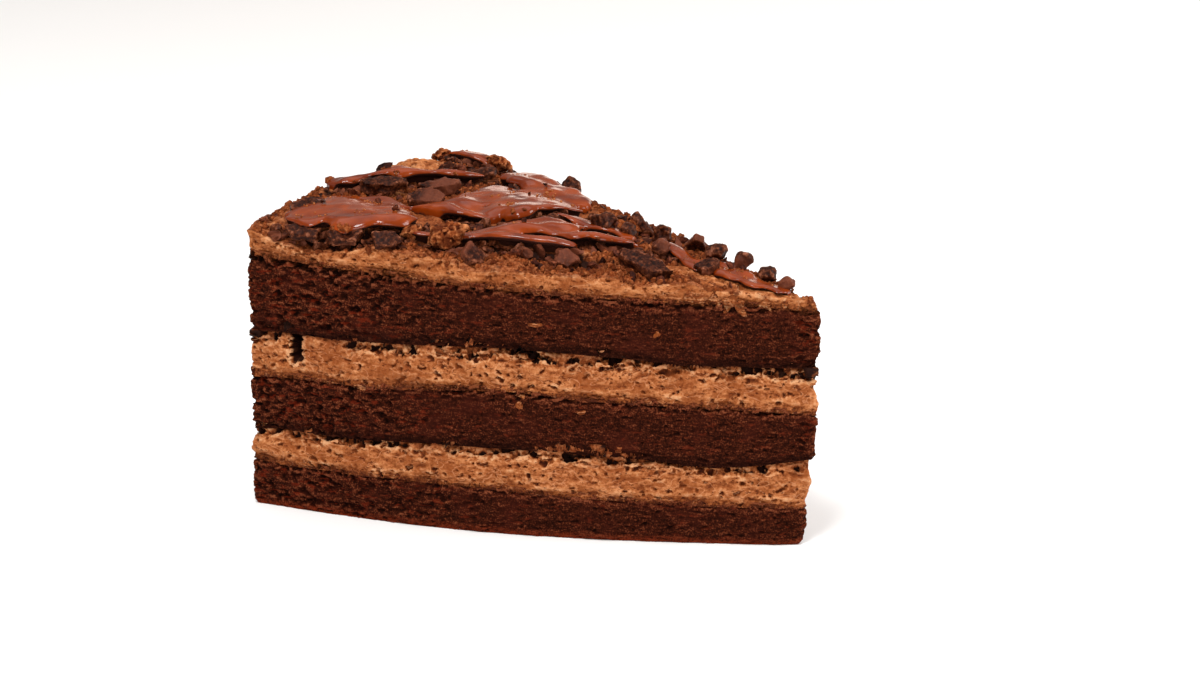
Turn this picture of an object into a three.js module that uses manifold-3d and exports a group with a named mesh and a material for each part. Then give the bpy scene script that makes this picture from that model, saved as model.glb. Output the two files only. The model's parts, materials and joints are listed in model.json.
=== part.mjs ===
// A wedge cut from a round double chocolate cake.
// Three cocoa sponges carry two fillings and a top coat of whipped chocolate mousse. The top is strewn
// with broken chocolate, lumps of cake and cocoa nibs, and poured with milk chocolate ganache.
// Millimetres, +Z up. The point of the wedge is towards +X and the rim of the cake towards -X. The
// origin lies under the middle of the wedge, on the surface that it stands on.

import * as THREE from "three";
import { mergeVertices } from "three/addons/utils/BufferGeometryUtils.js";
import Module from "manifold-3d";

const wasm = await Module();
wasm.setup();

const { clamp, degToRad, lerp, smoothstep } = THREE.MathUtils;

// The cake and its cut
const cakeRadius = 120;
const halfAngle = degToRad(19.3); // from the wedge's middle line to the chord of either cut
const frontBow = 7.5; // the front cut bows this far out of its chord
const backBow = 1.2;
const bowSkew = 1.15; // above 1 puts the fullest place of a bow nearer to the rim
const noseStart = 3; // the cuts stop this far from where they would meet, and a round nose joins them
const tipX = (cakeRadius + 0.5 * noseStart * Math.cos(halfAngle)) / 2;
const clearance = 0.3; // between pieces that touch

// The layers from the bottom up, with the height of each one's roof at these stations: the point of the
// wedge, every 24 mm from there, and the rim
const stationSpacing = 24;
const layers = [
  { name: "sponge_bottom", made: "sponge", roof: [8.2, 8.4, 8.4, 10.2, 9.7, 10] },
  { name: "mousse_lower", made: "mousse", roof: [18.5, 16.2, 19.2, 18.5, 17.2, 16.9] },
  { name: "sponge_middle", made: "sponge", roof: [27.8, 28.5, 29.4, 30.4, 28.9, 28.2] },
  { name: "mousse_upper", made: "mousse", roof: [37.6, 36.7, 38.8, 39.5, 37.5, 37.8] },
  { name: "sponge_top", made: "sponge", roof: [49.4, 50, 50.1, 51.4, 52.6, 53.6] },
];
const borderWave = 0.5; // the borders also rise and fall by this much
const borderWaveLength = 9;
const noseDroop = 2; // the top sponge is rounded off at the point
const noseDroopReach = 8;

// The cut faces
const outlineStep = 3.2;
const rowShares = [0, 0.14, 0.5, 0.84, 1]; // the wall points of a layer, as shares of its height
const spongeRelief = { depth: 0.5, along: 2.7, upright: 2 }; // depth, and the length of a swell each way
const mousseRelief = { depth: 0.55, along: 5, upright: 2 };
const mousseHollow = 0.8; // the mousse is dragged back under the sponge above it
const hollowBorder = -0.6; // the border under a sponge lies this far inside the knife's plane
const smearedBorder = -0.1; // and the border on top of one this far
const tipWear = 4.2; // the point is crumbled back at its foot
const tipWearReach = 14;
const tipWearHeight = 28;

// The top coat of mousse
const coatAtTip = 1.2;
const coatAtFront = 5.6; // its full thickness over the front cut, and over the back cut
const coatAtBack = 6.2;
const coatFullFront = 42; // from the point to where it is full
const coatFullBack = 80;
const coatMound = 1.4;
const coatPeak = { at: [-53, 19], height: 2.4, reach: 10 }; // a soft peak that the spatula left
const coatEdgeDrop = 1.1; // the coat is rounded off along the cuts and the rim
const coatEdgeWidth = 4.5;
const coatLumps = [
  { height: 0.7, length: 9 },
  { height: 0.42, length: 4 },
];
const coatMargin = 6; // the field of heights that shapes the coat runs this far past the wedge
const coatGrid = 3.6;
const coatRowHeight = 2.2;
const coatRows = 6;
const coatBottom = 40; // below the lowest place of the coat, where its cutting body ends
const coatCeiling = 80; // above the highest
const trimDepth = 9; // of the body that trims toppings under the coat, and how far it stands out
const trimMargin = 1;

// The topping
const pourSink = 1.6; // a pour reaches this far into the coat
const pourStep = 3.4;
const pourEdge = 0.25; // the share of its thickness that a pour has at its edges
const pourWaver = { share: 0.25, length: 6 }; // its width wavers by this share over this length
const shardCorners = 5;
const nibCount = 66;
const flakeCount = 24;
const smallSpacing = 4.2;
const smallFromTip = 8; // none lies nearer to the point than this

const materials = {
  sponge: new THREE.MeshStandardMaterial({ color: 0x3b190f, roughness: 0.9, metalness: 0 }),
  mousse: new THREE.MeshStandardMaterial({ color: 0xa9653c, roughness: 0.7, metalness: 0 }),
  chocolate: new THREE.MeshStandardMaterial({ color: 0x3a1a12, roughness: 0.45, metalness: 0 }),
  cake: new THREE.MeshStandardMaterial({ color: 0x713418, roughness: 0.9, metalness: 0 }),
};

// A repeatable value from -1 to 1 for each point of a lattice of whole numbers
function latticeValue(i, j, k) {
  let bits = (Math.imul(i, 374761393) + Math.imul(j, 668265263) + Math.imul(k, 1274126177)) | 0;
  bits = Math.imul(bits ^ (bits >>> 13), 1103515245);
  bits ^= bits >>> 16;
  return (bits >>> 0) / 2147483648 - 1;
}

// Smooth noise from -1 to 1, with one swell for each unit of its three arguments
function noise(x, y, z) {
  const [i, j, k] = [Math.floor(x), Math.floor(y), Math.floor(z)];
  const [u, v, w] = [x - i, y - j, z - k].map((t) => t * t * (3 - 2 * t));
  const alongX = (dj, dk) => lerp(latticeValue(i, j + dj, k + dk), latticeValue(i + 1, j + dj, k + dk), u);
  return lerp(lerp(alongX(0, 0), alongX(1, 0), v), lerp(alongX(0, 1), alongX(1, 1), v), w);
}

// Seeded draws from 0 to 1
let drawState = 20260;
function draw() {
  drawState = (drawState * 1664525 + 1013904223) % 4294967296;
  return drawState / 4294967296;
}

// The wedge in plan

function fromTip(x, y) {
  return Math.hypot(tipX - x, y);
}

// A point of a cut at a distance from the tip: side is -1 for the front cut and 1 for the back one
function cutPoint(side, distance) {
  const bow = (side < 0 ? frontBow : backBow) * Math.sin(Math.PI * (distance / cakeRadius) ** bowSkew);
  return new THREE.Vector2(
    tipX - distance * Math.cos(halfAngle) + bow * Math.sin(halfAngle),
    side * (distance * Math.sin(halfAngle) + bow * Math.cos(halfAngle)),
  );
}

// The bearings of both cuts as seen from the tip
function cutBearings(distance) {
  return [-1, 1].map((side) => {
    const point = cutPoint(side, distance);
    return Math.atan2(point.y, tipX - point.x);
  });
}

// A point between the cuts: share is 0 at the front cut and 1 at the back one
function planPoint(distance, share) {
  const bearing = lerp(...cutBearings(distance), share);
  return new THREE.Vector2(tipX - distance * Math.cos(bearing), distance * Math.sin(bearing));
}

function shareAcross(x, y) {
  const [front, back] = cutBearings(fromTip(x, y));
  return clamp((Math.atan2(y, tipX - x) - front) / (back - front), 0, 1);
}

// Anticlockwise from the nose: back cut, rim, front cut and nose
function sliceOutline() {
  const points = [];
  const faceSteps = Math.round((cakeRadius - noseStart) / outlineStep);
  const rimSteps = Math.round((2 * halfAngle * cakeRadius) / outlineStep);
  const noseSteps = 4;
  for (let i = 0; i <= faceSteps; i++) {
    points.push(cutPoint(1, lerp(noseStart, cakeRadius, i / faceSteps)));
  }
  for (let i = 1; i < rimSteps; i++) {
    const angle = lerp(halfAngle, -halfAngle, i / rimSteps);
    points.push(new THREE.Vector2(tipX - cakeRadius * Math.cos(angle), cakeRadius * Math.sin(angle)));
  }
  for (let i = faceSteps; i >= 0; i--) {
    points.push(cutPoint(-1, lerp(noseStart, cakeRadius, i / faceSteps)));
  }
  const nose = new THREE.QuadraticBezierCurve(
    cutPoint(-1, noseStart),
    new THREE.Vector2(tipX, 0),
    cutPoint(1, noseStart),
  );
  for (let i = 1; i < noseSteps; i++) {
    points.push(nose.getPoint(i / noseSteps));
  }
  return points;
}

const outline = sliceOutline();
const spotKey = (x, y) => `${x.toFixed(2)} ${y.toFixed(2)}`;
const outwardAt = new Map(
  outline.map((spot, i) => {
    const before = outline[(i + outline.length - 1) % outline.length];
    const after = outline[(i + 1) % outline.length];
    const along = after.clone().sub(before).normalize();
    return [spotKey(spot.x, spot.y), new THREE.Vector2(along.y, -along.x)];
  }),
);

// Heights and the shape of the cut faces

// The height of the border on top of so many layers
function borderHeight(level, x, y) {
  if (level === 0) return 0;
  const { roof } = layers[level - 1];
  const distance = fromTip(x, y);
  const station = clamp(Math.floor(distance / stationSpacing), 0, roof.length - 2);
  const start = station * stationSpacing;
  const onward = smoothstep(distance, start, start + stationSpacing);
  const nominal = lerp(roof[station], roof[station + 1], onward);
  const droop = level === layers.length ? noseDroop * Math.max(0, 1 - distance / noseDroopReach) ** 2 : 0;
  return nominal - droop + borderWave * noise(x / borderWaveLength, y / borderWaveLength, 10 * level);
}

// How far a cut face stands out of the knife's plane. The two layers at a border share its relief.
function borderRelief(level) {
  return level % 2 === 1 ? smearedBorder : hollowBorder;
}

function swell({ depth, along, upright }, x, y, z) {
  return depth * noise(x / along, y / along, z / upright);
}

function spongeFace(x, y, z) {
  return swell(spongeRelief, x, y, z);
}

function mousseFace(x, y, z, share) {
  return swell(mousseRelief, x, y, z) - mousseHollow * share ** 2;
}

function tipSetback(x, y, z) {
  const near = Math.max(0, 1 - fromTip(x, y) / tipWearReach);
  return tipWear * near ** 2 * Math.max(0, 1 - z / tipWearHeight) ** 1.3;
}

// Extrudes the outline in rows, then gives each wall point its height, its relief and the nose's wear.
// A floor and a roof are moved apart by the gap only after that, so that they keep the same shape.
function cutBlock(rows, heightAt, reliefAt, gapAt) {
  const extruded = new THREE.ExtrudeGeometry(new THREE.Shape(outline), {
    depth: rows,
    steps: rows,
    bevelEnabled: false,
  });
  const block = closedGeometry(extruded);
  const position = block.getAttribute("position");
  for (let i = 0; i < position.count; i++) {
    const [x, y, row] = [position.getX(i), position.getY(i), Math.round(position.getZ(i))];
    const outward = outwardAt.get(spotKey(x, y));
    const z = heightAt(row, x, y);
    const relief = reliefAt(row, x, y, z);
    const back = tipSetback(x, y, z);
    position.setXYZ(i, x + outward.x * relief - back, y + outward.y * relief, z + gapAt(row));
  }
  return block;
}

// Closed geometry, solids and back

function closedGeometry(geometry) {
  const bare = geometry.index ? geometry.toNonIndexed() : geometry.clone();
  bare.deleteAttribute("normal");
  bare.deleteAttribute("uv");
  return mergeVertices(bare, 1e-4);
}

function solidOf(geometry) {
  return new wasm.Manifold(
    new wasm.Mesh({
      numProp: 3,
      vertProperties: geometry.getAttribute("position").array,
      triVerts: new Uint32Array(geometry.index.array),
    }),
  );
}

function geometryOf(solid) {
  const mesh = solid.getMesh();
  const geometry = new THREE.BufferGeometry();
  geometry.setAttribute("position", new THREE.BufferAttribute(new Float32Array(mesh.vertProperties), 3));
  geometry.setIndex(new THREE.BufferAttribute(new Uint32Array(mesh.triVerts), 1));
  return geometry;
}

function largestBody(solid) {
  return solid.decompose().reduce((best, body) => (body.volume() > best.volume() ? body : best));
}

function namedMesh(name, geometry, material) {
  const mesh = new THREE.Mesh(geometry, material);
  mesh.name = name;
  geometry.computeVertexNormals();
  return mesh;
}

// Sponges and fillings

function layerMesh(layer, level) {
  const lastRow = rowShares.length - 1;
  const faceRelief = layer.made === "sponge" ? spongeFace : mousseFace;
  const heightAt = (row, x, y) =>
    lerp(borderHeight(level, x, y), borderHeight(level + 1, x, y), rowShares[row]);
  const reliefAt = (row, x, y, z) => {
    if (row === 0) return borderRelief(level);
    if (row === lastRow) return borderRelief(level + 1);
    return faceRelief(x, y, z, rowShares[row]);
  };
  const gapAt = (row) => {
    if (row === 0) return level === 0 ? 0 : clearance / 2;
    return row === lastRow ? -clearance / 2 : 0;
  };
  return namedMesh(layer.name, cutBlock(lastRow, heightAt, reliefAt, gapAt), materials[layer.made]);
}

// The top coat, cut by the same knife

function coatHeight(x, y) {
  const distance = fromTip(x, y);
  const share = shareAcross(x, y);
  const [front, back] = cutBearings(distance);
  const toCut = Math.min(share, 1 - share) * distance * (back - front);
  const toEdge = clamp(Math.min(toCut, cakeRadius - distance), 0, coatEdgeWidth);
  const full = smoothstep(distance, 2, lerp(coatFullFront, coatFullBack, share));
  const thickness = lerp(coatAtTip, lerp(coatAtFront, coatAtBack, share), full);
  const mound = coatMound * 4 * share * (1 - share) * full;
  const toPeak = Math.hypot(x - coatPeak.at[0], y - coatPeak.at[1]);
  const peak = coatPeak.height * (1 - smoothstep(toPeak, 0, coatPeak.reach));
  const drop = coatEdgeDrop * (1 - toEdge / coatEdgeWidth) ** 2 * full;
  const lumps = coatLumps.map(({ height, length }) => height * noise(x / length, y / length, 0));
  const uneven = full * (lumps[0] + lumps[1]);
  return borderHeight(layers.length, x, y) + thickness + mound + peak - drop + uneven;
}

function coatSolid() {
  const heightAt = (row, x, y) =>
    row === coatRows ? coatCeiling : borderHeight(layers.length, x, y) + row * coatRowHeight;
  const reliefAt = (row, x, y, z) =>
    row === 0 ? borderRelief(layers.length) : mousseFace(x, y, z, 0);
  const gapAt = (row) => (row === 0 ? clearance / 2 : 0);
  const block = solidOf(cutBlock(coatRows, heightAt, reliefAt, gapAt));
  const length = cakeRadius + 2 * coatMargin;
  const width = 2 * (cakeRadius * Math.sin(halfAngle) + coatMargin);
  const steps = [Math.round(length / coatGrid), Math.round(width / coatGrid)];
  const field = closedGeometry(new THREE.BoxGeometry(length, width, 1, ...steps, 1));
  const position = field.getAttribute("position");
  for (let i = 0; i < position.count; i++) {
    const [x, y] = [position.getX(i), position.getY(i)];
    position.setZ(i, position.getZ(i) > 0 ? coatHeight(x, y) : coatBottom);
  }
  return block.intersect(solidOf(field));
}

// What lies under the coat, a little wider than the sponge: it trims toppings that would reach into it
function underCoatSolid() {
  const heightAt = (row, x, y) => borderHeight(layers.length, x, y) - (row === 0 ? trimDepth : 0);
  const block = cutBlock(1, heightAt, () => trimMargin, () => 0);
  return solidOf(block);
}

// Topping: shapes

// A lump with uneven corners, as a crumb of cake or a nib of cocoa has
function lumpGeometry(length, width, thickness) {
  const lump = closedGeometry(new THREE.IcosahedronGeometry(0.5, 0));
  const position = lump.getAttribute("position");
  for (let i = 0; i < position.count; i++) {
    const reach = 0.8 + 0.4 * draw();
    position.setXYZ(
      i,
      position.getX(i) * reach * length,
      position.getY(i) * reach * width,
      position.getZ(i) * reach * thickness,
    );
  }
  return lump;
}

// A broken plate of chocolate with a few uneven corners
function shardGeometry(length, width, thickness) {
  const points = [];
  for (let i = 0; i < shardCorners; i++) {
    const angle = (2 * Math.PI * (i + 0.5 * draw())) / shardCorners;
    const reach = 0.44 + 0.14 * draw();
    points.push(new THREE.Vector2(Math.cos(angle) * reach * length, Math.sin(angle) * reach * width));
  }
  const plate = new THREE.ExtrudeGeometry(new THREE.Shape(points), {
    depth: thickness,
    steps: 1,
    bevelEnabled: false,
  });
  plate.translate(0, 0, -thickness / 2);
  return closedGeometry(plate);
}

// A bar bent along a line in plan, full in the middle and thin at its ends, that lies on the coat
function pourGeometry({ route, width, thickness }) {
  const curve = new THREE.CatmullRomCurve3(route.map(([x, y]) => new THREE.Vector3(x, y, 0)));
  const steps = Math.round(curve.getLength() / pourStep);
  const pour = closedGeometry(new THREE.BoxGeometry(1, 1, 1, steps, 4, 1));
  const position = pour.getAttribute("position");
  for (let i = 0; i < position.count; i++) {
    const along = position.getX(i) + 0.5;
    const across = 2 * position.getY(i);
    const centre = curve.getPointAt(along);
    const heading = curve.getTangentAt(along);
    const fullness = 0.1 + 0.9 * Math.sqrt(1 - Math.min(1, (2 * along - 1) ** 4));
    const [u, v] = [centre.x / pourWaver.length, centre.y / pourWaver.length];
    const reach = 0.5 * width * fullness * across * (1 + pourWaver.share * noise(u, v, across));
    const x = centre.x - heading.y * reach;
    const y = centre.y + heading.x * reach;
    const crown = thickness * fullness * lerp(1, pourEdge, across * across);
    position.setXYZ(i, x, y, coatHeight(x, y) + (position.getZ(i) > 0 ? crown : -pourSink));
  }
  return pour;
}

// Moves a piece onto the coat: turn is about the vertical, and pitch and roll tilt it
function laidOnCoat(geometry, { at, turn, pitch = 0, roll = 0, lift }) {
  const [x, y] = at;
  const angles = new THREE.Euler(degToRad(roll), degToRad(pitch), degToRad(turn), "ZYX");
  const place = new THREE.Vector3(x, y, coatHeight(x, y) + lift);
  const matrix = new THREE.Matrix4().makeRotationFromEuler(angles).setPosition(place);
  return geometry.clone().applyMatrix4(matrix);
}

// Topping: large pieces, each a piece of its own

const largePieces = [
  { kind: "shard", at: [-47, -27], size: [6.6, 5.2, 1.6], turn: 33, pitch: -4, roll: 16, lift: 1.8 },
  { kind: "shard", at: [-40, -36.8], size: [7.6, 5, 1.6], turn: 26, pitch: 5, roll: 24, lift: 0.9 },
  { kind: "shard", at: [-30.5, -35], size: [8.4, 4.8, 1.6], turn: 36, pitch: -4, roll: 28, lift: 0.9 },
  { kind: "shard", at: [-21.5, -33.5], size: [6.4, 4.6, 1.6], turn: 14, pitch: 12, roll: 34, lift: 0.7 },
  { kind: "shard", at: [-44, -5.2], size: [10.4, 5, 2.4], turn: 42, pitch: 3, roll: 14, lift: 1.9 },
  { kind: "shard", at: [-35, 3.4], size: [9.4, 5, 2.4], turn: 38, pitch: -4, roll: 12, lift: 1.9 },
  { kind: "shard", at: [-31, -7.4], size: [7.6, 5.6, 1.8], turn: 30, pitch: 4, roll: 26, lift: 1.2 },
  { kind: "shard", at: [-43, 16.5], size: [5.6, 4.8, 1.3], turn: 70, pitch: -48, roll: 0, lift: 1.8 },
  { kind: "shard", at: [-37, 21.5], size: [6.4, 4.4, 1.3], turn: 36, pitch: -12, roll: 14, lift: 1.5 },
  { kind: "shard", at: [-4.6, -27.5], size: [4.8, 4.8, 1.4], turn: 60, pitch: 12, roll: 50, lift: 0.2 },
  { kind: "shard", at: [12.4, -19.2], size: [4.8, 4.2, 1.4], turn: 20, pitch: 10, roll: 46, lift: 0.4 },
  { kind: "shard", at: [26.6, -12.6], size: [13, 4.6, 2.4], turn: 10, pitch: 19, roll: 18, lift: 1.3 },
  { kind: "shard", at: [25.5, 8.6], size: [5.6, 4.4, 1.3], turn: 120, pitch: 42, roll: 8, lift: 1.8 },
  { kind: "shard", at: [34.6, -2.4], size: [5.6, 4, 1.4], turn: 40, pitch: -6, roll: 16, lift: 1 },
  { kind: "shard", at: [11.4, 10.2], size: [6, 4.4, 1.4], turn: 48, pitch: 56, roll: 6, lift: 2.4 },
  { kind: "nugget", at: [6.6, 3], size: [5.6, 5, 5], turn: 20, lift: 2.3 },
  { kind: "nugget", at: [12.4, 3.4], size: [4.6, 4.4, 4.4], turn: 80, lift: 1.6 },
  { kind: "nugget", at: [17.6, 8.2], size: [4.4, 4, 5], turn: 40, lift: 1.8 },
  { kind: "nugget", at: [-16.8, 25.6], size: [4.8, 4, 4.2], turn: 60, lift: 1.6 },
  { kind: "nugget", at: [23.4, -1.4], size: [4.8, 4.2, 3.8], turn: 10, lift: 1.3 },
  { kind: "nugget", at: [31.4, 6], size: [4.4, 4, 4.2], turn: 30, lift: 1.9 },
  { kind: "nugget", at: [37, 7.4], size: [4.6, 3.8, 4], turn: 65, lift: 1.9 },
  { kind: "nugget", at: [44.6, 5], size: [3.8, 3.4, 3.4], turn: 15, lift: 1.5 },
  { kind: "nugget", at: [50.6, 2], size: [3.4, 3, 2.8], turn: 50, lift: 1.1 },
  { kind: "lump", at: [-11.4, -26.6], size: [8.2, 7.2, 6.6], turn: 20, lift: 2.6 },
  { kind: "lump", at: [-20.6, -26.4], size: [5, 4.6, 4], turn: 50, lift: 1.8 },
  { kind: "lump", at: [-40.6, 32], size: [5.4, 5, 4.4], turn: 35, lift: 1.3 },
  { kind: "lump", at: [-54, 29.6], size: [6, 5.2, 4], turn: 75, lift: 1.2 },
];

// Topping: poured ganache, each pour a route in plan with its width and thickness

const pours = [
  { route: [[-55, -22], [-45, -26], [-34, -26], [-24, -20]], width: 14, thickness: 2.4 },
  { route: [[-26, -17], [-17, -12], [-8, -14], [2, -17], [12, -13], [20, -10]], width: 6, thickness: 2.2 },
  { route: [[-28, -1], [-18, 3], [-8, 0], [2, -6]], width: 13, thickness: 2.4 },
  { route: [[-57, -5], [-50, 3], [-42, 10], [-33, 15]], width: 5.5, thickness: 2.4 },
  { route: [[-36, 27], [-28, 25], [-19, 20], [-9, 14], [1, 11]], width: 8, thickness: 2.2 },
  { route: [[-9, -22], [-1, -22], [8, -18.5], [17, -14.5]], width: 3.6, thickness: 1.8 },
  { route: [[-52, 14], [-49, 22], [-47, 30], [-49, 37]], width: 6.5, thickness: 2.2 },
  { route: [[30, 2], [38, 0], [46, 2], [53, 1]], width: 7, thickness: 1.7 },
];

// Topping: small pieces, scattered by a seeded rule

// Spots on the wedge that keep their distance from one another
function scatteredSpots(count, spacing) {
  const spots = [];
  for (let tries = 0; spots.length < count && tries < 60 * count; tries++) {
    const distance = lerp(smallFromTip, cakeRadius - 1, Math.sqrt(draw()));
    const spot = planPoint(distance, lerp(0.01, 0.99, draw()));
    if (spots.every((other) => other.distanceTo(spot) > spacing)) spots.push(spot);
  }
  return spots;
}

function nib(spot) {
  const size = lerp(2.2, 4.4, draw());
  const shape = lumpGeometry(size, size * lerp(0.7, 1, draw()), size * lerp(0.55, 0.9, draw()));
  return laidOnCoat(shape, { at: [spot.x, spot.y], turn: 360 * draw(), lift: lerp(0.2, 1.3, draw()) });
}

function flake(spot) {
  const length = lerp(3.6, 6.4, draw());
  const shape = shardGeometry(length, length * lerp(0.5, 0.8, draw()), lerp(0.9, 1.5, draw()));
  return laidOnCoat(shape, {
    at: [spot.x, spot.y],
    turn: 360 * draw(),
    pitch: lerp(-32, 32, draw()),
    roll: lerp(-24, 24, draw()),
    lift: lerp(0.5, 1.6, draw()),
  });
}

function smallToppings() {
  return scatteredSpots(nibCount + flakeCount, smallSpacing).map((spot, i) =>
    solidOf(i < flakeCount ? flake(spot) : nib(spot)),
  );
}

// The dressed coat and the whole slice

const pieceKinds = {
  shard: { shape: shardGeometry, name: "chocolate_shard", material: materials.chocolate },
  nugget: { shape: lumpGeometry, name: "chocolate_nugget", material: materials.chocolate },
  lump: { shape: lumpGeometry, name: "cake_lump", material: materials.cake },
};

function largePiece({ kind, size, ...lying }) {
  const shape = pieceKinds[kind].shape(...size);
  const spare = 2 * (clearance + 0.05);
  const pocket = shape.clone().scale(...size.map((length) => 1 + spare / length));
  return { kind, piece: laidOnCoat(shape, lying), pocket: solidOf(laidOnCoat(pocket, lying)) };
}

const slice = new THREE.Group();
layers.forEach((layer, level) => slice.add(layerMesh(layer, level)));

const placed = largePieces.map(largePiece);
const pouredSolids = pours.map((pour) => solidOf(pourGeometry(pour)));
const dressed = wasm.Manifold.union([coatSolid(), ...pouredSolids, ...smallToppings()]);
const cutters = [underCoatSolid(), ...placed.map(({ pocket }) => pocket)];
const trimmed = largestBody(dressed.subtract(wasm.Manifold.union(cutters)));
slice.add(namedMesh("mousse_top", geometryOf(trimmed.simplify(0.03)), materials.mousse));

const numbers = {};
for (const { kind, piece } of placed) {
  const { name, material } = pieceKinds[kind];
  numbers[kind] = (numbers[kind] ?? 0) + 1;
  slice.add(namedMesh(`${name}_${String(numbers[kind]).padStart(2, "0")}`, piece, material));
}

export default slice;
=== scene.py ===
import json
import math
import random

import bpy
import numpy as np
from mathutils import Matrix, Quaternion, Vector, noise
from mathutils.bvhtree import BVHTree

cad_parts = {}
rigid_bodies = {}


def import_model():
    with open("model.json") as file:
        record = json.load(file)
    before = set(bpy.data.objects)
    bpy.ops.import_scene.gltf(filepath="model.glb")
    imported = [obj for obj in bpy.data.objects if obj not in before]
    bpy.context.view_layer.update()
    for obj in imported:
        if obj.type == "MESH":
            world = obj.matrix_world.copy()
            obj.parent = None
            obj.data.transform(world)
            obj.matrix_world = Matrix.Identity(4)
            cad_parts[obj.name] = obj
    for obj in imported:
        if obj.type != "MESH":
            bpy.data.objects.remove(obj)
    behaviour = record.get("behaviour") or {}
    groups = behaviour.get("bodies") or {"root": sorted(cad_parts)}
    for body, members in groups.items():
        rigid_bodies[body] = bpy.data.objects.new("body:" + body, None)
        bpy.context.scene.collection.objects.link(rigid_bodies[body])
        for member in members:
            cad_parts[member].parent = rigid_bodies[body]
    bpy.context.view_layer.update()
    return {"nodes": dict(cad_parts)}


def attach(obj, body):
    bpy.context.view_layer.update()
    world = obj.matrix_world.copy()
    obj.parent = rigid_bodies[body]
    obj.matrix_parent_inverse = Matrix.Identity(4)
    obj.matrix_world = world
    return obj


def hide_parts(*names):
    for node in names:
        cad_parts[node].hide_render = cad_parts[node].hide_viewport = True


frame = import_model()


# The three cocoa sponges. Dark, moist cake, baked in flat rounds and cut through with the whole cake:
# the knife drags its crumb into short level tears, and the outer crumb is coarser and redder. Each is
# made from its own solid, which gets a fine skin that is then torn, pitted and noted for its colour.

OVERLAP = 0.0007  # a layer reaches this far into each neighbour, so that a ragged line parts them
SKIN = 0.0003  # the size of the skin's faces


def new_object(name, data=None):
    made = bpy.data.objects.new(name, data)
    bpy.context.scene.collection.objects.link(made)
    return made


def take_solids(name, *nodes):
    """One new object with the merged meshes of these nodes, selected and active."""
    bpy.ops.object.select_all(action="DESELECT")
    for node in nodes:
        part = new_object(name, frame["nodes"][node].data.copy())
        part.select_set(True)
        bpy.context.view_layer.objects.active = part
    if len(nodes) > 1:
        bpy.ops.object.join()
    piece = bpy.context.view_layer.objects.active
    piece.name = name
    piece.data.materials.clear()
    bpy.ops.object.mode_set(mode="EDIT")
    bpy.ops.mesh.select_all(action="SELECT")
    bpy.ops.mesh.remove_doubles(threshold=0.00001)
    bpy.ops.object.mode_set(mode="OBJECT")
    return piece


def shape_with(piece, kind, **settings):
    """Adds a modifier with these settings and applies it."""
    bpy.context.view_layer.objects.active = piece
    modifier = piece.modifiers.new(kind, kind)
    for key, value in settings.items():
        setattr(modifier, key, value)
    bpy.ops.object.modifier_apply(modifier=modifier.name)


def places(piece):
    """The vertices' places, one row each."""
    rows = np.empty(len(piece.data.vertices) * 3, np.float32)
    piece.data.vertices.foreach_get("co", rows)
    return rows.reshape(-1, 3).astype(float)


def facings(piece):
    """The vertices' normals, one row each."""
    rows = np.empty(len(piece.data.vertices) * 3, np.float32)
    piece.data.vertex_normals.foreach_get("vector", rows)
    return rows.reshape(-1, 3).astype(float)


def put_places(piece, rows):
    piece.data.vertices.foreach_set("co", rows.astype(np.float32).ravel())
    piece.data.update()


def smooth_step(values, start, end):
    """0 before start, 1 past end, and an even change between them."""
    t = np.clip((np.asarray(values, float) - start) / (end - start), 0, 1)
    return t * t * (3 - 2 * t)


def weigh(piece, name, weights):
    """A vertex group with one weight for each vertex, in steps of a tenth."""
    group = piece.vertex_groups.new(name=name)
    levels = np.clip(np.round(weights * 10), 0, 10).astype(int)
    for level in range(1, 11):
        group.add(np.nonzero(levels == level)[0].tolist(), level / 10, "REPLACE")
    return name


def carve(piece, kind, size, depth, group="", ramp=None, middle=0.5, direction="NORMAL", **settings):
    """Moves the skin by a noise of this size, three lengths in mm, and this depth in mm."""
    texture = bpy.data.textures.new(kind, kind)
    for key, value in {"noise_scale": 1.0, **settings}.items():
        setattr(texture, key, value)
    if ramp:
        texture.use_color_ramp = True
        for element, (position, level) in zip(texture.color_ramp.elements, ramp):
            element.position = position
            element.color = (level, level, level, 1)
    axes = new_object("noise_axes")
    axes.scale = [length / 1000 for length in size]
    axes.location = (0.5 + 0.01 * len(piece.name), 0.3, 0.1 * len(kind))
    bpy.context.view_layer.update()
    shape_with(
        piece,
        "DISPLACE",
        texture=texture,
        texture_coords="OBJECT",
        texture_coords_object=axes,
        strength=depth / 1000,
        mid_level=middle,
        direction=direction,
        vertex_group=group,
    )
    bpy.data.objects.remove(axes)
    bpy.data.textures.remove(texture)


def note(piece, name, values):
    """Keeps one number for each vertex, which a material reads."""
    attribute = piece.data.attributes.new(name, "FLOAT", "POINT")
    attribute.data.foreach_set("value", np.asarray(values, np.float32))


def note_relief(piece, rounds, depth):
    """Keeps how far each vertex stands out of the skin near it: 0.5 is level, 1 is this many mm."""
    edges = np.empty(len(piece.data.edges) * 2, np.int32)
    piece.data.edges.foreach_get("vertices", edges)
    a, b = edges.reshape(-1, 2).T
    rows = places(piece)
    count = len(rows)
    near = np.maximum(np.bincount(a, minlength=count) + np.bincount(b, minlength=count), 1)
    level = rows.copy()
    for _ in range(rounds):
        for axis in range(3):
            column = level[:, axis]
            total = np.bincount(a, column[b], count) + np.bincount(b, column[a], count)
            level[:, axis] = 0.5 * column + 0.5 * total / near
    proud = np.einsum("ij,ij->i", rows - level, facings(piece)) * 1000
    note(piece, "proud", np.clip(0.5 + 0.5 * proud / depth, 0, 1))


def select_only(*pieces):
    bpy.ops.object.select_all(action="DESELECT")
    for piece in pieces:
        piece.select_set(True)
    bpy.context.view_layer.objects.active = pieces[0]


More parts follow.
